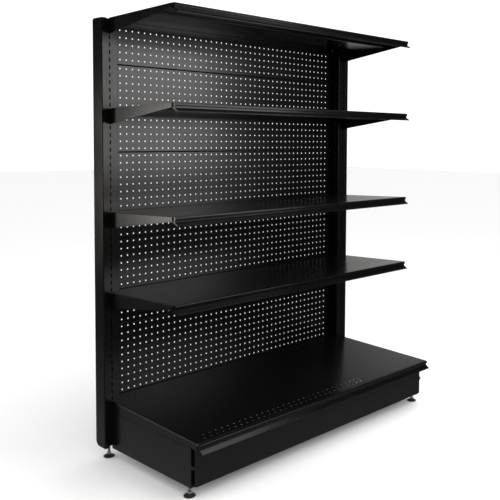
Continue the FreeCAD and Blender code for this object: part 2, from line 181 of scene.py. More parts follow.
class GondolaSettings(bpy.types.PropertyGroup):
    panel: PointerProperty(type=GondolaPanelSettings)
    upright: PointerProperty(type=GondolaUprightSettings)
    shelf: PointerProperty(type=GondolaShelfSettings)
    finish: PointerProperty(type=GondolaFinishSettings)


def settings():
    return bpy.context.scene.gondola


# ---- materials ----
def material(name):
    """New material with its main shader and its object coordinates."""
    made = bpy.data.materials.new(name)
    made.use_nodes = True
    nodes, links = made.node_tree.nodes, made.node_tree.links
    place = nodes.new("ShaderNodeTexCoord").outputs["Object"]
    return made, nodes, links, nodes["Principled BSDF"], place


def noise(nodes, links, place, scale, detail=2.0, roughness=0.5):
    """Grain of a given scale, in ripples a metre."""
    grain = nodes.new("ShaderNodeTexNoise")
    grain.inputs["Scale"].default_value = scale
    grain.inputs["Detail"].default_value = detail
    grain.inputs["Roughness"].default_value = roughness
    links.new(place, grain.inputs["Vector"])
    return grain.outputs["Fac"]


def spread(nodes, links, value, low, high, from_low=0.3, from_high=0.7):
    """Stretch a grain to the range low to high."""
    ramp = nodes.new("ShaderNodeMapRange")
    ramp.inputs["From Min"].default_value = from_low
    ramp.inputs["From Max"].default_value = from_high
    ramp.inputs["To Min"].default_value = low
    ramp.inputs["To Max"].default_value = high
    links.new(value, ramp.inputs["Value"])
    return ramp.outputs["Result"]


def blend_colours(nodes, links, amount, first, second):
    mix = nodes.new("ShaderNodeMix")
    mix.data_type = "RGBA"
    mix.inputs["A"].default_value = first
    mix.inputs["B"].default_value = second
    links.new(amount, mix.inputs["Factor"])
    return mix.outputs["Result"]


def bump(nodes, links, height, distance, strength, under=None):
    node = nodes.new("ShaderNodeBump")
    node.inputs["Distance"].default_value = distance
    node.inputs["Strength"].default_value = strength
    links.new(height, node.inputs["Height"])
    if under is not None:
        links.new(under, node.inputs["Normal"])
    return node.outputs["Normal"]


def coated_steel(name, dark, light, roughness, peel, shine):
    """Sprayed finish: orange peel, fine texture, faint dust and duller patches."""
    made, nodes, links, shader, place = material(name)
    dust = noise(nodes, links, place, scale=3.0, detail=3.0)
    tone = blend_colours(nodes, links, spread(nodes, links, dust, 0.0, 1.0), dark, light)
    links.new(tone, shader.inputs["Base Color"])
    wipe = noise(nodes, links, place, scale=5.0)
    links.new(spread(nodes, links, wipe, *roughness), shader.inputs["Roughness"])
    ripple = noise(nodes, links, place, scale=420.0, detail=1.0)
    speckle = noise(nodes, links, place, scale=1900.0, detail=1.0)
    coarse = bump(nodes, links, ripple, distance=0.02 * MM, strength=peel)
    fine = bump(nodes, links, speckle, distance=0.005 * MM, strength=0.3, under=coarse)
    links.new(fine, shader.inputs["Normal"])
    shader.inputs["Specular IOR Level"].default_value = shine
    return made


def powder_coat():
    finish = settings().finish
    return coated_steel("powder_coat_satin_black", finish.coat, finish.coat_light,
                        roughness=(0.20, 0.24), peel=0.30, shine=0.25)


def cover_coat():
    """The same coat, a little glossier, on the pressed end covers."""
    finish = settings().finish
    return coated_steel("powder_coat_end_cover", finish.coat, finish.coat_light,
                        roughness=(0.19, 0.23), peel=0.30, shine=0.25)


def channel_enamel():
    """Smoother, glossier enamel that mirrors less of the room."""
    finish = settings().finish
    return coated_steel("channel_enamel_black", finish.channel, finish.coat_light,
                        roughness=(0.17, 0.22), peel=0.15, shine=0.16)


def moulded_plastic(name, roughness):
    """Spark-eroded mould grain with scuffed patches."""
    finish = settings().finish
    made, nodes, links, shader, place = material(name)
    scuff = noise(nodes, links, place, scale=140.0, detail=5.0, roughness=0.6)
    worn = spread(nodes, links, scuff, 0.0, 1.0, from_low=0.5, from_high=0.75)
    tone = blend_colours(nodes, links, worn, finish.plastic, finish.plastic_worn)
    links.new(tone, shader.inputs["Base Color"])
    links.new(spread(nodes, links, scuff, *roughness), shader.inputs["Roughness"])
    grain = noise(nodes, links, place, scale=2600.0)
    texture = bump(nodes, links, grain, distance=0.03 * MM, strength=0.5)
    links.new(texture, shader.inputs["Normal"])
    return made


def zinc_plate():
    """Bright zinc: faint spangle, a fine grain and dull spots."""
    finish = settings().finish
    made, nodes, links, shader, place = material("zinc_plated_steel")
    spangle = noise(nodes, links, place, scale=320.0, detail=3.0, roughness=0.6)
    tone = blend_colours(nodes, links, spread(nodes, links, spangle, 0.0, 1.0),
                         finish.zinc, finish.zinc_dull)
    links.new(tone, shader.inputs["Base Color"])
    shader.inputs["Metallic"].default_value = 1.0
    links.new(spread(nodes, links, spangle, 0.22, 0.42), shader.inputs["Roughness"])
    grain = noise(nodes, links, place, scale=1500.0, detail=1.0)
    texture = bump(nodes, links, grain, distance=0.02 * MM, strength=0.4)
    links.new(texture, shader.inputs["Normal"])
    return made


def pale_floor():
    finish = settings().finish
    made, nodes, links, shader, place = material("pale_studio_floor")
    cloud = noise(nodes, links, place, scale=1.4, detail=3.0)
    tone = blend_colours(nodes, links, cloud, finish.floor, finish.floor_shade)
    links.new(tone, shader.inputs["Base Color"])
    shader.inputs["Roughness"].default_value = 0.7
    shader.inputs["Specular IOR Level"].default_value = 0.2
    return made


FINISHES = {}


def finish_named(name):
    """Each finish is made once and shared."""
    makers = {
        "powder_coat": powder_coat,
        "cover_coat": cover_coat,
        "channel_finish": channel_enamel,
        "cap_plastic": lambda: moulded_plastic("cap_plastic_black", (0.45, 0.6)),
        "foot_plastic": lambda: moulded_plastic("glide_plastic_black", (0.35, 0.55)),
        "zinc_steel": zinc_plate,
        "floor": pale_floor,
    }
    if name not in FINISHES:
        FINISHES[name] = makers[name]()
    return FINISHES[name]


# ---- mesh helpers ----
def arc_between(before, corner, after, radius, steps):
    """Points of the arc that replaces one corner of a flat line."""
    corner = Vector(corner)
    to_before = (Vector(before) - corner).normalized()
    to_after = (Vector(after) - corner).normalized()
    half = to_before.angle(to_after) / 2
    reach = radius / math.tan(half)
    centre = corner + (to_before + to_after).normalized() * radius / math.sin(half)
    start = corner + to_before * reach - centre
    end = corner + to_after * reach - centre
    turn = start.angle_signed(end)
    return [centre + Matrix.Rotation(-turn * k / steps, 2) @ start for k in range(steps + 1)]


def rounded_line(points, radius, steps=4):
    """A flat line with every inner corner rounded."""
    line = [Vector(points[0])]
    for before, corner, after in zip(points, points[1:], points[2:]):
        line += arc_between(before, corner, after, radius, steps)
    line.append(Vector(points[-1]))
    kept = [line[0]]
    for point in line[1:]:
        if (point - kept[-1]).length > SAME:
            kept.append(point)
    return kept


def rounded_loop(corners, steps=4):
    """A closed outline; each corner is (y, z, radius)."""
    outline = []
    count = len(corners)
    for k, (y, z, radius) in enumerate(corners):
        if radius:
            before, after = corners[k - 1][:2], corners[(k + 1) % count][:2]
            outline += arc_between(before, (y, z), after, radius, steps)
        else:
            outline.append(Vector((y, z)))
    return outline


def strip_of_sheet(bm, line, x0, x1):
    """Sheet drawn out along X; its face looks left of the line's way forward."""
    start = [bm.verts.new((x0, y, z)) for y, z in line]
    end = [bm.verts.new((x1, y, z)) for y, z in line]
    for k in range(len(line) - 1):
        bm.faces.new((start[k], end[k], end[k + 1], start[k + 1]))


def prism(bm, outline, x0, x1):
    """Solid bar with a side outline, between two x."""
    start = [bm.verts.new((x0, y, z)) for y, z in outline]
    end = [bm.verts.new((x1, y, z)) for y, z in outline]
    count = len(outline)
    for k in range(count):
        bm.faces.new((start[k], start[(k + 1) % count], end[(k + 1) % count], end[k]))
    bm.faces.new(reversed(start))
    bm.faces.new(end)
    bmesh.ops.recalc_face_normals(bm, faces=bm.faces)


def folded_sheet(bm, corners, flanges, to_frame):
    """A flat web with flanges folded from its edges.

    corners run anticlockwise seen from the face. flanges maps the number of an edge to a
    line of (outward, upward) points, or to a pair of such lines, one for each end.
    """
    web = [bm.verts.new(to_frame @ Vector((u, v, 0))) for u, v in corners]
    bm.faces.new(web)
    count = len(corners)
    for edge, lines in flanges.items():
        if len(lines) != 2 or len(lines[0]) == 2:
            lines = (lines, lines)
        first, second = Vector(corners[edge]), Vector(corners[(edge + 1) % count])
        along = (second - first).normalized()
        outward = Vector((along.y, -along.x))
        row = (web[edge], web[(edge + 1) % count])
        for step in zip(lines[0][1:], lines[1][1:]):
            places = [base + outward * out for base, (out, up) in zip((first, second), step)]
            new_row = tuple(bm.verts.new(to_frame @ Vector((p.x, p.y, up)))
                            for p, (out, up) in zip(places, step))
            bm.faces.new((row[0], new_row[0], new_row[1], row[1]))
            row = new_row


def block(bm, low, high):
    """Plain block between two corners, for a part that is rounded afterwards."""
    low, high = Vector(low), Vector(high)
    corners = bmesh.ops.create_cube(bm, size=1.0)["verts"]
    middle = Matrix.Translation((low + high) / 2)
    scale = Matrix.Diagonal((*(high - low), 1.0))
    bmesh.ops.transform(bm, matrix=middle @ scale, verts=corners)


def ring_of_points(bm, centre, radius, z, count):
    """Level ring about an upright axis."""
    turns = [2 * math.pi * k / count for k in range(count)]
    return [bm.verts.new((centre.x + radius * math.cos(turn), centre.y + radius * math.sin(turn), z))
            for turn in turns]


def edges_where(bm, axis, test):
    """Edges along one axis whose middle passes a test."""
    found = []
    for edge in bm.edges:
        way = (edge.verts[1].co - edge.verts[0].co).normalized()
        if abs(way[axis]) > 0.99 and test((edge.verts[0].co + edge.verts[1].co) / 2):
            found.append(edge)
    return found


def round_edges(bm, edges, radius, steps):
    bmesh.ops.bevel(bm, geom=edges, offset=radius, offset_type="OFFSET", segments=steps,
                    profile=0.5, affect="EDGES", clamp_overlap=False)


def new_object(name, bm):
    mesh = bpy.data.meshes.new(name)
    bm.to_mesh(mesh)
    bm.free()
    made = bpy.data.objects.new(name, mesh)
    bpy.context.scene.collection.objects.link(made)
    return made


def thicken(piece, thickness):
    """Give a face of sheet its thickness, behind the face."""
    solid = piece.modifiers.new("thickness", "SOLIDIFY")
    solid.thickness = thickness
    solid.offset = -1.0
    solid.use_even_offset = True
    return piece


def ease_edges(piece, width, segments=2, degrees=40):
    """Round the edges that turn by more than an angle."""
    eased = piece.modifiers.new("edges", "BEVEL")
    eased.width = width
    eased.segments = segments
    eased.limit_method = "ANGLE"
    eased.angle_limit = math.radians(degrees)
    return piece


def plain(piece):
    """Turn the piece's modifiers into a plain mesh."""
    bpy.context.view_layer.update()
    depsgraph = bpy.context.evaluated_depsgraph_get()
    mesh = bpy.data.meshes.new_from_object(piece.evaluated_get(depsgraph), depsgraph=depsgraph)
    old = piece.data
    piece.modifiers.clear()
    piece.data = mesh
    bpy.data.meshes.remove(old)
    mesh.name = piece.name
    return piece


def smooth(piece, degrees=35):
    """Shade bends smooth and flats flat."""
    piece.data.shade_smooth()
    piece.data.set_sharp_from_angle(angle=math.radians(degrees))
    weighted = piece.modifiers.new("flats", "WEIGHTED_NORMAL")
    weighted.keep_sharp = True
    weighted.weight = 100
    return plain(piece)


def hand_over(piece, body, slot, *nodes, finish=None):
    """Finish a piece: the material named by its slot or by the given finish, its body, and hiding the
    nodes it stands for.
    """
    piece.data.materials.clear()
    piece.data.materials.append(finish_named(finish or slot))
    for polygon in piece.data.polygons:
        polygon.material_index = 0
    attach(piece, body)
    if nodes:
        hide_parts(*nodes)
    return piece


def softened(name, edge):
    """Copy of a node with its cut edges slightly rounded."""
    bm = bmesh.new()
    bm.from_mesh(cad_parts[name].data)
    bmesh.ops.remove_doubles(bm, verts=bm.verts, dist=SAME)
    bmesh.ops.dissolve_limit(bm, angle_limit=math.radians(1.0), verts=bm.verts, edges=bm.edges)
    return smooth(plain(ease_edges(new_object(name + "_finished", bm), edge)))


# ---- geometry node trees ----
def new_tree(name, inputs):
    """Geometry tree with a geometry input, named inputs and a material."""
    tree = bpy.data.node_groups.new(name, "GeometryNodeTree")
    face = tree.interface
    face.new_socket("Geometry", in_out="INPUT", socket_type="NodeSocketGeometry")
    for socket_name, kind in inputs:
        face.new_socket(socket_name, in_out="INPUT", socket_type="NodeSocket" + kind)
    face.new_socket("Material", in_out="INPUT", socket_type="NodeSocketMaterial")
    face.new_socket("Geometry", in_out="OUTPUT", socket_type="NodeSocketGeometry")
    given = tree.nodes.new("NodeGroupInput").outputs
    return tree, given


def node(tree, kind, **values):
    """Add a node; a value that is an output is linked, any other is set."""
    made = tree.nodes.new(kind)
    for key, value in values.items():
        if hasattr(made, key) and not key[0].isupper():
            setattr(made, key, value)
            continue
        socket = made.inputs[key.replace("_", " ")]
        if isinstance(value, bpy.types.NodeSocket):
            tree.links.new(value, socket)
        else:
            socket.default_value = value
    return made


def maths(tree, operation, first, second):
    made = tree.nodes.new("ShaderNodeMath")
    made.operation = operation
    for socket, value in zip(made.inputs, (first, second)):
        if isinstance(value, bpy.types.NodeSocket):
            tree.links.new(value, socket)
        else:
            socket.default_value = value
    return made.outputs[0]


def join(tree, *geometries):
    made = tree.nodes.new("GeometryNodeJoinGeometry")
    for geometry in geometries:
        tree.links.new(geometry, made.inputs[0])
    return made.outputs[0]


def close_tree(tree, given, geometry):
    """Every tree ends by realizing instances and setting the material."""
    real = node(tree, "GeometryNodeRealizeInstances", Geometry=geometry).outputs[0]
    painted = node(tree, "GeometryNodeSetMaterial", Geometry=real, Material=given["Material"])
    out = tree.nodes.new("NodeGroupOutput")
    tree.links.new(painted.outputs[0], out.inputs[0])
    return tree


def openings_tree():
    """Grid of rounded openings cut through a sheet."""
    inputs = [(name, "Float") for name in ("Opening Width", "Opening Height", "Corner Radius",
                                           "Depth", "Column Pitch", "Row Pitch")]
    inputs += [("Columns", "Int"), ("Rows", "Int"), ("Corner Steps", "Int"),
               ("Place", "Vector"), ("Turn", "Rotation")]
    tree, given = new_tree("rows_of_openings", inputs)
    outline = node(tree, "GeometryNodeCurvePrimitiveQuadrilateral",
                   Width=given["Opening Width"], Height=given["Opening Height"]).outputs[0]
    rounded = node(tree, "GeometryNodeFilletCurve", mode="POLY", Curve=outline,
                   Count=given["Corner Steps"], Radius=given["Corner Radius"]).outputs[0]
    cap = node(tree, "GeometryNodeFillCurve", mode="NGONS", Curve=rounded).outputs[0]
    bar = node(tree, "GeometryNodeExtrudeMesh", mode="FACES", Mesh=cap,
               Offset_Scale=given["Depth"], Individual=False).outputs["Mesh"]
    foot = node(tree, "GeometryNodeFlipFaces", Mesh=cap).outputs[0]
    closed = node(tree, "GeometryNodeMergeByDistance", Geometry=join(tree, bar, foot),
                  Distance=0.01 * MM).outputs[0]
    lowered = node(tree, "ShaderNodeCombineXYZ",
                   Z=maths(tree, "MULTIPLY", given["Depth"], -0.5)).outputs[0]
    cutter = node(tree, "GeometryNodeTransform", Geometry=closed, Translation=lowered).outputs[0]
    width = maths(tree, "MULTIPLY", maths(tree, "SUBTRACT", given["Columns"], 1.0),
                  given["Column Pitch"])
    height = maths(tree, "MULTIPLY", maths(tree, "SUBTRACT", given["Rows"], 1.0),
                   given["Row Pitch"])
    grid = node(tree, "GeometryNodeMeshGrid", Size_X=width, Size_Y=height,
                Vertices_X=given["Columns"], Vertices_Y=given["Rows"]).outputs[0]
    cutters = node(tree, "GeometryNodeInstanceOnPoints", Points=grid, Instance=cutter).outputs[0]
    solid = node(tree, "GeometryNodeRealizeInstances", Geometry=cutters).outputs[0]
    placed = node(tree, "GeometryNodeTransform", Geometry=solid, Translation=given["Place"],
                  Rotation=given["Turn"]).outputs[0]
    cut = tree.nodes.new("GeometryNodeMeshBoolean")
    cut.operation = "DIFFERENCE"
    cut.solver = "MANIFOLD"
    tree.links.new(given["Geometry"], cut.inputs["Mesh 1"])
    tree.links.new(placed, cut.inputs["Mesh 2"])
    return close_tree(tree, given, cut.outputs["Mesh"])


def screws_tree():
    """Line of countersunk screws with a cross recess, heads towards +Y."""
    inputs = [("Head Radius", "Float"), ("Shank Radius", "Float"), ("Head Depth", "Float"),
              ("Shank Length", "Float"), ("Recess Width", "Float"), ("Count", "Int"),
              ("Start", "Vector"), ("Step", "Vector")]
    tree, given = new_tree("line_of_screws", inputs)
    head = node(tree, "GeometryNodeMeshCone", Vertices=24, Radius_Top=given["Head Radius"],
                Radius_Bottom=given["Shank Radius"], Depth=given["Head Depth"]).outputs[0]
    shank = node(tree, "GeometryNodeMeshCylinder", Vertices=16, Radius=given["Shank Radius"],
                 Depth=given["Shank Length"]).outputs[0]
    below = node(tree, "ShaderNodeCombineXYZ",
                 Z=maths(tree, "MULTIPLY", given["Shank Length"], -0.5)).outputs[0]
    shank = node(tree, "GeometryNodeTransform", Geometry=shank, Translation=below).outputs[0]
    cross_span = maths(tree, "MULTIPLY", given["Head Radius"], 1.15)
    cross_depth = maths(tree, "MULTIPLY", given["Head Depth"], 0.8)
    bars = []
    for long_axis in ("X", "Y"):
        lengths = {"X": given["Recess Width"], "Y": given["Recess Width"], "Z": cross_depth}
        lengths[long_axis] = cross_span
        span = node(tree, "ShaderNodeCombineXYZ", **lengths).outputs[0]
        bars.append(node(tree, "GeometryNodeMeshCube", Size=span).outputs[0])
    recess = node(tree, "GeometryNodeMeshBoolean", operation="UNION", solver="EXACT")
    for bar in bars:
        tree.links.new(bar, recess.inputs["Mesh 2"])
    above = node(tree, "ShaderNodeCombineXYZ", Z=given["Head Depth"]).outputs[0]
    raised = node(tree, "GeometryNodeTransform", Geometry=recess.outputs[0],
                  Translation=above).outputs[0]
    cut = node(tree, "GeometryNodeMeshBoolean", operation="DIFFERENCE", solver="EXACT")
    tree.links.new(head, cut.inputs["Mesh 1"])
    tree.links.new(raised, cut.inputs["Mesh 2"])
    line = node(tree, "GeometryNodeMeshLine", Count=given["Count"], Start_Location=given["Start"],
                Offset=given["Step"]).outputs[0]
    screws = node(tree, "GeometryNodeInstanceOnPoints", Points=line,
                  Instance=join(tree, cut.outputs[0], shank),
                  Rotation=(-math.pi / 2, 0, 0)).outputs[0]
    return close_tree(tree, given, join(tree, given["Geometry"], screws))


def thread_tree():
    """Screw thread wound round a stem that stands along +Z."""
    inputs = [("Core Radius", "Float"), ("Ridge", "Float"), ("Pitch", "Float"),
              ("Length", "Float"), ("Steps", "Int"), ("Place", "Vector")]
    tree, given = new_tree("wound_thread", inputs)
    turns = maths(tree, "DIVIDE", given["Length"], given["Pitch"])
    spiral = node(tree, "GeometryNodeCurveSpiral", Resolution=given["Steps"], Rotations=turns,
                  Start_Radius=given["Core Radius"], End_Radius=given["Core Radius"],
                  Height=given["Length"]).outputs[0]
    ridge = node(tree, "GeometryNodeCurvePrimitiveCircle", Resolution=3,
                 Radius=given["Ridge"]).outputs[0]
    wound = node(tree, "GeometryNodeCurveToMesh", Curve=spiral, Profile_Curve=ridge,
                 Fill_Caps=True).outputs[0]
    placed = node(tree, "GeometryNodeTransform", Geometry=wound,
                  Translation=given["Place"]).outputs[0]
    return close_tree(tree, given, join(tree, given["Geometry"], placed))


TREES = {}


def run_tree(piece, maker, finish, **values):
    """Run a tree on a piece; inputs are set by their identifiers, then made plain."""
    if maker not in TREES:
        TREES[maker] = maker()
    modifier = piece.modifiers.new(maker.__name__, "NODES")
    modifier.node_group = TREES[maker]
    names = {item.name: item.identifier for item in TREES[maker].interface.items_tree
             if item.in_out == "INPUT"}
    modifier[names["Material"]] = finish_named(finish)
    for name, value in values.items():
        modifier[names[name.replace("_", " ")]] = value
    return plain(piece)


# ---- back panels and rails ----
def back_panel(name):
    """Perforated tray: flanges back at top and bottom, wings forward at the sides."""
    panel = settings().panel
    low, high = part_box(name)
    wing = PANEL_Y - low.y
    inner = panel.bend
    outer = inner + SHEET
    left, right = low.x + outer, high.x - outer
    bottom, top = low.z + outer, high.z - outer
    to_wing = rounded_line([(0, 0), (inner, 0), (inner, wing)], inner)
    flange_line = [(0, 0), (outer, 0), (outer + PANEL_LEAN, -PANEL_FLANGE)]
    to_flange = rounded_line(flange_line, outer)
    upright_plane = Matrix(((1, 0, 0, 0), (0, 0, -1, PANEL_Y), (0, 1, 0, 0), (0, 0, 0, 1)))
    bm = bmesh.new()
    corners = [(left, bottom), (right, bottom), (right, top), (left, top)]
    folded_sheet(bm, corners, {0: to_flange, 1: to_wing, 2: to_flange, 3: to_wing}, upright_plane)
    piece = plain(thicken(new_object(name + "_perforated", bm), SHEET))
    whole_rows = round((high.z - low.z) / panel.hole_pitch) * panel.hole_pitch
    first_row = low.z - (whole_rows - (high.z - low.z)) / 2 + panel.hole_pitch / 2
    rows = int((high.z - first_row) / panel.hole_pitch) + 1
    middle = first_row + (rows - 1) * panel.hole_pitch / 2
    run_tree(piece, openings_tree, "powder_coat", Opening_Width=panel.hole_width,
             Opening_Height=panel.hole_width, Corner_Radius=ROUND_HOLE * panel.hole_width,
             Depth=6 * SHEET, Column_Pitch=panel.hole_pitch, Row_Pitch=panel.hole_pitch,
             Columns=panel.hole_columns, Rows=rows, Corner_Steps=2,
             Place=(0.0, PANEL_Y, middle), Turn=(math.pi / 2, 0.0, 0.0))
    return hand_over(smooth(piece), "frame", "powder_coat", name)


class GONDOLA_OT_back_panels(bpy.types.Operator):
    """Build the five perforated back panels"""
    bl_idname = "gondola.back_panels"
    bl_label = "Back panels"

    def execute(self, context):
        for name in PANELS:
            back_panel(name)
        return {"FINISHED"}


class GONDOLA_OT_rails(bpy.types.Operator):
    """Build the rails above and below the back panels"""
    bl_idname = "gondola.rails"
    bl_label = "Rails"

    def execute(self, context):
        for name in ("top_rail", "bottom_rail"):
            hand_over(softened(name, RAIL_EDGE), "frame", "powder_coat", name)
        return {"FINISHED"}


# ---- uprights ----
def tube(side_name):
    """Rounded tube with a line of slots in its front wall."""
    upright = settings().upright
    name = "upright_" + side_name
    low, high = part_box(name)
    head = upright.head_corner - upright.cover_wall
    foot = upright.foot_corner - upright.cover_wall
    cover_low, cover_high = COVER_LOW.z + upright.cover_wall, COVER_HIGH.z - upright.cover_wall
    profile = [(low.x, low.y), (high.x, low.y), (high.x, high.y), (low.x, high.y)]

    def outline(inset):
        bend = max(upright.tube_bend - inset, LEAST_BEND)
        corners = [(x + (inset if x == low.x else -inset), y + (inset if y == low.y else -inset),
                    bend) for x, y in profile]
        return rounded_loop(corners, 6)

    bm = bmesh.new()
    levels = {}
    for inset in (0.0, upright.wall):
        for z in (low.z, high.z):
            levels[inset, z] = [bm.verts.new((p.x, p.y, z)) for p in outline(inset)]
    outer, inner = 0.0, upright.wall
    count = len(levels[outer, low.z])
    for k in range(count):
        after = (k + 1) % count
        for first, second in (((outer, low.z), (outer, high.z)), ((outer, high.z), (inner, high.z)),
                              ((inner, high.z), (inner, low.z)), ((inner, low.z), (outer, low.z))):
            bm.faces.new((levels[first][k], levels[first][after],
                          levels[second][after], levels[second][k]))
    bmesh.ops.recalc_face_normals(bm, faces=bm.faces)
    piece = new_object(name + "_slotted", bm)
    keeper = bmesh.new()
    block(keeper, (low.x - MM, low.y - MM, cover_low), (high.x + MM, high.y, cover_high))
    for z, radius in ((cover_high, head), (cover_low, foot)):
        rear = edges_where(keeper, 0, lambda p: abs(p.z - z) < NEAR and p.y > high.y - NEAR)
        round_edges(keeper, rear, radius, 8)
    keep = new_object("side_outline", keeper)
    trim = piece.modifiers.new("outline", "BOOLEAN")
    trim.operation = "INTERSECT"
    trim.solver = "MANIFOLD"
    trim.object = keep
    plain(piece)
    bpy.data.objects.remove(keep)
    pitch = settings().panel.hole_pitch
    middle = upright.top_slot - (upright.slot_count - 1) * pitch / 2
    slot_x = (low.x + high.x) / 2 + SIDES[side_name] * upright.cover_wall / 2
    run_tree(piece, openings_tree, "powder_coat", Opening_Width=upright.slot_width,
             Opening_Height=upright.slot_height, Corner_Radius=SLOT_CORNER * upright.slot_width,
             Depth=4 * upright.wall, Column_Pitch=0.0, Row_Pitch=pitch, Columns=1,
             Rows=upright.slot_count, Corner_Steps=3,
             Place=(slot_x, low.y, middle), Turn=(math.pi / 2, 0.0, 0.0))
    return hand_over(smooth(piece), "frame", "powder_coat", name)


def end_cover(side_name):
    """Pressed pan over the outer side, bent over on every edge."""
    upright = settings().upright
    name = "end_cover_" + side_name
    low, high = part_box(name)
    face_x = high.x if SIDES[side_name] > 0 else low.x
    open_x = low.x if SIDES[side_name] > 0 else high.x
    bm = bmesh.new()
    block(bm, low, high)
    for z, radius in ((high.z, upright.head_corner), (low.z, upright.foot_corner)):
        rear = edges_where(bm, 0, lambda p: abs(p.z - z) < NEAR and abs(p.y - high.y) < NEAR)
        round_edges(bm, rear, radius, 10)
    mouth = [f for f in bm.faces if all(abs(v.co.x - open_x) < NEAR for v in f.verts)]
    bmesh.ops.delete(bm, geom=mouth, context="FACES_ONLY")
    rim = [e for e in bm.edges if all(abs(v.co.x - face_x) < NEAR for v in e.verts)]
    round_edges(bm, rim, upright.cover_bend, 8)
    bmesh.ops.recalc_face_normals(bm, faces=bm.faces)
    piece = thicken(new_object(name + "_pressed", bm), upright.cover_wall)
    plain(ease_edges(piece, 0.8 * upright.cover_wall, segments=3, degrees=60))
    return hand_over(smooth(piece, 50), "frame", "powder_coat", name, finish="cover_coat")


class GONDOLA_OT_uprights(bpy.types.Operator):
    """Build the slotted tubes, their end covers, caps and foot plates"""
    bl_idname = "gondola.uprights"
    bl_label = "Uprights"

    def execute(self, context):
        for side_name in SIDES:
            tube(side_name)
            end_cover(side_name)
            cap, plate = "upright_cap_" + side_name, "rear_foot_plate_" + side_name
            hand_over(softened(cap, CAP_EDGE), "frame", "cap_plastic", cap)
            hand_over(softened(plate, PLATE_EDGE), "frame", "powder_coat", plate)
        return {"FINISHED"}


class GONDOLA_OT_screws(bpy.types.Operator):
    """Build the screws in the rear lips of the end covers"""
    bl_idname = "gondola.screws"
    bl_label = "Cover screws"

    def execute(self, context):
        low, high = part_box("end_cover_screws")
        radius = SCREW_HEAD_RADIUS
        step = Vector((0, 0, (high.z - low.z - 2 * radius) / (SCREWS_IN_LINE - 1)))
        piece = new_object("end_cover_screws_cross_head", bmesh.new())
        for x in (low.x + radius, high.x - radius):
            run_tree(piece, screws_tree, "zinc_steel", Head_Radius=radius, Shank_Radius=radius / 2,
                     Head_Depth=SCREW_HEAD_DEPTH, Shank_Length=SCREW_LENGTH,
                     Recess_Width=SCREW_RECESS, Count=SCREWS_IN_LINE,
                     Start=(x, high.y - SCREW_HEAD_DEPTH, low.z + radius), Step=step)
        hand_over(smooth(piece), "frame", "zinc_steel", "end_cover_screws")
        return {"FINISHED"}


# ---- shelves ----
def on_slope(tilt, height):
    """From a shelf's own place, with y from the panel face, to the frame."""
    pivot = Matrix.Translation((0, PANEL_Y - REACH, height))
    return pivot @ Matrix.Rotation(-tilt, 4, "X") @ Matrix.Translation((0, REACH, 0))


def shelf_height(name):
    """Height of a shelf's top where it meets the uprights."""
    rise = (SHELF_DEPTH - REACH) * math.sin(SHELF_TILT)
    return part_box(name)[1].z - rise


def tray_corners(half, front, rear_half, rear, shoulder, bend):
    """Outline of a tray's web: wide in front of the uprights, narrow between them."""
    wide, narrow = half - bend, rear_half
    return [(-wide, front + bend), (wide, front + bend), (wide, shoulder), (narrow, shoulder),
            (narrow, rear - bend), (-narrow, rear - bend), (-narrow, shoulder), (-wide, shoulder)]


def shelf_tray(name):
    """Folded tray of an upper shelf."""
    shelf = settings().shelf
    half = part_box(name)[1].x
    bend = shelf.bend
    place = on_slope(SHELF_TILT, shelf_height(name))
    front_line = [(0, 0), (bend, 0), (bend, -shelf.front_flange),
                  (bend - SHELF_RETURN, -shelf.front_flange)]
    side_line = [(0, 0), (bend, 0), (bend, -shelf.side_flange)]
    rear_line = [(0, 0), (bend, 0), (bend, -shelf.rear_flange)]
    short = rounded_line(side_line, bend)
    flanges = dict.fromkeys((1, 2, 3, 5, 6, 7), short)
    flanges[0] = rounded_line(front_line, bend)
    flanges[4] = rounded_line(rear_line, bend)
    bm = bmesh.new()
    corners = tray_corners(half, -SHELF_DEPTH, REAR_PART_HALF - bend, SHELF_REAR,
                           SHOULDER - bend, bend)
    folded_sheet(bm, corners, flanges, place)
    piece = plain(thicken(new_object(name + "_tray", bm), SHEET))
    return hand_over(smooth(piece), name, "powder_coat", name)


def hat_channel(name, body, tilt, height, front, back, drop):
    """Stiffener with rounded folds, welded under a tray."""
    low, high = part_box(name)
    first, last = front + SHEET, back - SHEET
    line = [(front - STIFFENER_LIP, -SHEET), (first, -SHEET), (first, -drop), (last, -drop),
            (last, -SHEET), (back + STIFFENER_LIP, -SHEET)]
    bm = bmesh.new()
    strip_of_sheet(bm, rounded_line(line, STIFFENER_BEND), low.x, high.x)
    bm.transform(on_slope(tilt, height))
    piece = plain(thicken(new_object(name + "_folded", bm), SHEET))
    return hand_over(smooth(piece), body, "powder_coat", name)


def ticket_channel(name, body, tilt, height, depth):
    """Price rail: rounded nose, recess and flaring lip."""
    low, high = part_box(name)
    corners = [(-depth - reach * MM, rise * MM, radius * MM)
               for reach, rise, radius in CHANNEL_OUTLINE]
    bm = bmesh.new()
    prism(bm, rounded_loop(corners, 4), low.x, high.x)
    bm.transform(on_slope(tilt, height))
    piece = new_object(name + "_rail", bm)
    return hand_over(smooth(piece), body, "channel_finish", name)


class GONDOLA_OT_shelves(bpy.types.Operator):
    """Build the four upper shelves with their stiffeners and brackets"""
    bl_idname = "gondola.shelves"
    bl_label = "Shelves"

    def execute(self, context):
        for name in SHELVES:
            shelf_tray(name)
            hat_channel(name + "_stiffener", name, SHELF_TILT, shelf_height(name),
                        *SHELF_STIFFENER, SHELF_STIFFENER_DROP)
            for side_name in SIDES:
                bracket = name + "_bracket_" + side_name
                edge = settings().shelf.edge
                hand_over(softened(bracket, edge), name, "powder_coat", bracket)
        return {"FINISHED"}


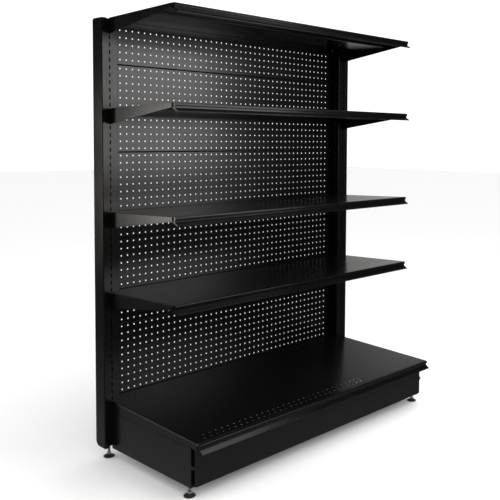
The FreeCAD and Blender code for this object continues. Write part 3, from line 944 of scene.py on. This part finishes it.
class GONDOLA_OT_ticket_channels(bpy.types.Operator):
    """Build the ticket channels on the shelf fronts and the deck"""
    bl_idname = "gondola.ticket_channels"
    bl_label = "Ticket channels"

    def execute(self, context):
        for name in SHELVES:
            ticket_channel(name + "_ticket_channel", name, SHELF_TILT, shelf_height(name),
                           SHELF_DEPTH)
        ticket_channel("base_deck_ticket_channel", "deck", DECK_TILT, deck_height(), DECK_DEPTH)
        return {"FINISHED"}


# ---- base ----
def deck_height():
    """Height of the deck's top where it meets the uprights."""
    rise = (REACH + DECK_REAR) * math.sin(-DECK_TILT)
    return DECK_HIGH.z - rise


def base_deck():
    """Sloping deck whose side flanges end level, with rows of small holes in front."""
    shelf = settings().shelf
    bend = shelf.bend
    height = deck_height()
    place = on_slope(DECK_TILT, height)
    half = DECK_HIGH.x
    corners = tray_corners(half, -DECK_DEPTH, REAR_PART_HALF, DECK_REAR, SHOULDER, bend)

    def side_line(y):
        drop = (DECK_LOW.z - height - (y + REACH) * math.sin(-DECK_TILT)) / math.cos(DECK_TILT)
        line = [(0, 0), (bend, 0), (bend, drop), (bend - DECK_RETURN, drop)]
        return rounded_line(line, bend)

    front_y, shoulder_y = corners[1][1], corners[2][1]
    front_line = rounded_line([(0, 0), (bend, 0), (bend, -DECK_FRONT_FLANGE)], bend)
    rear_line = rounded_line([(0, 0), (bend, 0), (bend, -DECK_REAR_FLANGE)], bend)
    flanges = {0: front_line, 1: (side_line(front_y), side_line(shoulder_y)), 4: rear_line,
               7: (side_line(shoulder_y), side_line(front_y))}
    bm = bmesh.new()
    folded_sheet(bm, corners, flanges, place)
    piece = plain(thicken(new_object("base_deck_tray", bm), SHEET))
    pitch = settings().panel.hole_pitch
    for row in range(2):                       # the second row stands half a pitch over
        y = -DECK_DEPTH + DECK_HOLES_FRONT + row * DECK_HOLES_APART
        columns = settings().panel.hole_columns + 2 - row
        run_tree(piece, openings_tree, "powder_coat", Opening_Width=shelf.deck_hole,
                 Opening_Height=shelf.deck_hole, Corner_Radius=ROUND_HOLE * shelf.deck_hole,
                 Depth=6 * SHEET, Column_Pitch=pitch, Row_Pitch=pitch, Columns=columns, Rows=1,
                 Corner_Steps=2, Place=place @ Vector((0, y, 0)), Turn=(-DECK_TILT, 0.0, 0.0))
    return hand_over(smooth(piece), "deck", "powder_coat", "base_deck")


class GONDOLA_OT_base(bpy.types.Operator):
    """Build the deck, its stiffeners, the kick plate and the base brackets"""
    bl_idname = "gondola.base"
    bl_label = "Base"

    def execute(self, context):
        base_deck()
        for name, front in DECK_STIFFENERS.items():
            hat_channel(name, "deck", DECK_TILT, deck_height(), front, front + DECK_STIFFENER_WEB,
                        DECK_STIFFENER_DROP)
        kick = softened("kick_plate", settings().shelf.edge)
        hand_over(kick, "frame", "powder_coat", "kick_plate")
        for side_name in SIDES:
            bracket, nut = "base_bracket_" + side_name, "front_foot_nut_" + side_name
            hand_over(softened(bracket, PLATE_EDGE), "frame", "powder_coat", bracket)
            hand_over(softened(nut, PLATE_EDGE), "frame", "zinc_steel", nut)
        return {"FINISHED"}


# ---- feet ----
def glide(name):
    """Turned glide: eased rim, sloping shoulder and a narrow flat top."""
    low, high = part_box("foot_pad_" + name)
    centre, rim, height = (low + high) / 2, (high.x - low.x) / 2, high.z - low.z
    shoulder, waist, top = 0.74 * rim, 0.52 * rim, 0.44 * rim
    side = [(0.0, 0.0), (rim - 1.2 * MM, 0.0), (rim, 1.0 * MM), (rim, 3.0 * MM),
            (rim - 0.8 * MM, 3.9 * MM), (shoulder, 5.4 * MM), (waist, 7.6 * MM),
            (top, height), (0.0, height)]
    bm = bmesh.new()
    steps = 48
    rings = [ring_of_points(bm, centre, reach, z, steps if reach else 1) for reach, z in side]
    for lower, upper in zip(rings, rings[1:]):
        for k in range(steps):
            after = (k + 1) % steps
            if len(lower) == 1:
                bm.faces.new((lower[0], upper[after], upper[k]))
            elif len(upper) == 1:
                bm.faces.new((lower[k], lower[after], upper[0]))
            else:
                bm.faces.new((lower[k], lower[after], upper[after], upper[k]))
    bmesh.ops.recalc_face_normals(bm, faces=bm.faces)
    return smooth(new_object("foot_glide_" + name, bm), 40)


def threaded_stem(name):
    """Hexagon collar and core, with the thread wound on."""
    low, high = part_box("foot_stem_" + name)
    centre = (low + high) / 2
    collar_top = low.z + STEM_COLLAR_HEIGHT
    bm = bmesh.new()
    for sides, reach, z0, z1 in ((6, STEM_COLLAR_RADIUS, low.z, collar_top),
                                 (32, STEM_RADIUS - THREAD_DEPTH, collar_top, high.z)):
        lower, upper = (ring_of_points(bm, centre, reach, z, sides) for z in (z0, z1))
        for k in range(sides):
            after = (k + 1) % sides
            bm.faces.new((lower[k], lower[after], upper[after], upper[k]))
        bm.faces.new(reversed(lower))
        bm.faces.new(upper)
    piece = plain(ease_edges(new_object("foot_stem_" + name + "_threaded", bm), 0.5 * MM))
    run_tree(piece, thread_tree, "zinc_steel", Core_Radius=STEM_RADIUS - RIDGE_RADIUS,
             Ridge=RIDGE_RADIUS, Pitch=THREAD_PITCH, Steps=14,
             Length=high.z - collar_top - 2 * THREAD_PITCH,
             Place=(centre.x, centre.y, collar_top + THREAD_PITCH))
    return smooth(piece)


class GONDOLA_OT_feet(bpy.types.Operator):
    """Build the four levelling feet"""
    bl_idname = "gondola.feet"
    bl_label = "Levelling feet"

    def execute(self, context):
        for name in FEET:
            hand_over(glide(name), "foot_" + name, "foot_plastic", "foot_pad_" + name)
            hand_over(threaded_stem(name), "foot_" + name, "zinc_steel", "foot_stem_" + name)
        return {"FINISHED"}


# ---- stage ----
def area_light(name, place, target, width, height, power, tint=(1, 1, 1)):
    """Soft light that shines on the object and isn't seen itself."""
    light = bpy.data.lights.new(name, "AREA")
    light.shape = "RECTANGLE"
    light.size, light.size_y = width, height
    light.energy = power
    light.color = tint
    made = bpy.data.objects.new(name, light)
    made.location = place
    made.rotation_euler = (Vector(target) - Vector(place)).to_track_quat("-Z", "Y").to_euler()
    made.visible_camera = False
    bpy.context.scene.collection.objects.link(made)


def camera():
    """Chest height, ahead of the bay and to its left; the bay is off the lens's axis."""
    lens = bpy.data.cameras.new("camera")
    lens.sensor_width = 36.0
    lens.lens = 54.02
    lens.shift_x = -0.1553
    lens.shift_y = -0.1367
    made = bpy.data.objects.new("camera", lens)
    place = Vector((-2.0034, -2.0458, 1.1265))
    rightwards = Vector((0.6712, -0.7412, 0.0094)).normalized()
    backwards = Vector((-0.7403, -0.6697, 0.0594)).normalized()
    up = backwards.cross(rightwards).normalized()
    turn = Matrix((up.cross(backwards), up, backwards)).transposed().to_4x4()
    made.matrix_world = Matrix.Translation(place) @ turn
    bpy.context.scene.collection.objects.link(made)
    bpy.context.scene.camera = made


def surroundings():
    """White room; in reflections it is dim but for its right end and the floor's place."""
    world = bpy.data.worlds.new("studio")
    world.use_nodes = True
    nodes, links = world.node_tree.nodes, world.node_tree.links
    white = nodes["Background"]
    white.inputs["Color"].default_value = (1.0, 1.0, 1.0, 1.0)
    white.inputs["Strength"].default_value = 1.2
    dim = nodes.new("ShaderNodeBackground")
    dim.inputs["Color"].default_value = (1.0, 0.99, 0.975, 1.0)
    way = nodes.new("ShaderNodeTexCoord").outputs["Generated"]
    sideways = nodes.new("ShaderNodeVectorMath")
    sideways.operation = "DOT_PRODUCT"
    links.new(way, sideways.inputs[0])
    sideways.inputs[1].default_value = (1.0, 0.25, 0.0)
    height = nodes.new("ShaderNodeSeparateXYZ")
    links.new(way, height.inputs[0])
    right = spread(nodes, links, sideways.outputs["Value"], low=0.02, high=0.8,
                   from_low=0.84, from_high=0.96)
    below = spread(nodes, links, height.outputs["Z"], low=0.45, high=0.0,
                   from_low=-0.42, from_high=-0.24)
    both = nodes.new("ShaderNodeMath")
    both.operation = "ADD"
    links.new(right, both.inputs[0])
    links.new(below, both.inputs[1])
    links.new(both.outputs[0], dim.inputs["Strength"])
    path = nodes.new("ShaderNodeLightPath")
    mix = nodes.new("ShaderNodeMixShader")
    links.new(path.outputs["Is Glossy Ray"], mix.inputs["Fac"])
    links.new(white.outputs[0], mix.inputs[1])
    links.new(dim.outputs[0], mix.inputs[2])
    links.new(mix.outputs[0], nodes["World Output"].inputs["Surface"])
    bpy.context.scene.world = world


class GONDOLA_OT_stage(bpy.types.Operator):
    """Build the floor, lights, surroundings and camera"""
    bl_idname = "gondola.stage"
    bl_label = "Stage"

    def execute(self, context):
        bm = bmesh.new()
        bmesh.ops.create_grid(bm, x_segments=2, y_segments=2, size=20.0)
        floor = new_object("studio_floor", bm)
        floor.data.materials.append(finish_named("floor"))
        floor.visible_glossy = False
        area_light("soft_overhead", place=(0.8, -1.0, 3.2), target=(0.0, 0.0, 0.6),
                   width=2.6, height=1.4, power=45)
        area_light("soft_front_right", place=(1.35, -2.3, 1.4), target=(-0.4, 0.27, 1.3),
                   width=1.0, height=1.2, power=28)
        area_light("soft_left_rear", place=(-2.9, 2.5, 0.9), target=(-0.6, -0.1, 1.0),
                   width=0.9, height=1.1, power=28, tint=(1.0, 0.97, 0.92))
        surroundings()
        camera()
        context.scene.view_settings.view_transform = "Standard"
        return {"FINISHED"}


class GONDOLA_PT_sidebar(bpy.types.Panel):
    """Settings and steps of the gondola bay"""
    bl_idname = "GONDOLA_PT_sidebar"
    bl_label = "Gondola"
    bl_space_type = "VIEW_3D"
    bl_region_type = "UI"
    bl_category = "Gondola"

    def draw(self, context):
        column = self.layout.column(align=True)
        for operator in OPERATORS:
            column.operator(operator.bl_idname)
        for group_name in ("panel", "upright", "shelf", "finish"):
            group = getattr(context.scene.gondola, group_name)
            box = self.layout.box()
            for name in group.__annotations__:
                box.prop(group, name)


GROUPS = (GondolaPanelSettings, GondolaUprightSettings, GondolaShelfSettings,
          GondolaFinishSettings, GondolaSettings)
OPERATORS = (GONDOLA_OT_stage, GONDOLA_OT_back_panels, GONDOLA_OT_rails, GONDOLA_OT_uprights,
             GONDOLA_OT_screws, GONDOLA_OT_shelves, GONDOLA_OT_ticket_channels, GONDOLA_OT_base,
             GONDOLA_OT_feet)


def register():
    for item in GROUPS + OPERATORS + (GONDOLA_PT_sidebar,):
        bpy.utils.register_class(item)
    bpy.types.Scene.gondola = PointerProperty(type=GondolaSettings)


def unregister():
    del bpy.types.Scene.gondola
    for item in reversed(GROUPS + OPERATORS + (GONDOLA_PT_sidebar,)):
        bpy.utils.unregister_class(item)


def main():
    register()
    for operator in OPERATORS:
        family, step = operator.bl_idname.split(".")
        if getattr(getattr(bpy.ops, family), step)() != {"FINISHED"}:
            raise RuntimeError(operator.bl_label + " didn't finish")


if __name__ == "__main__":
    main()
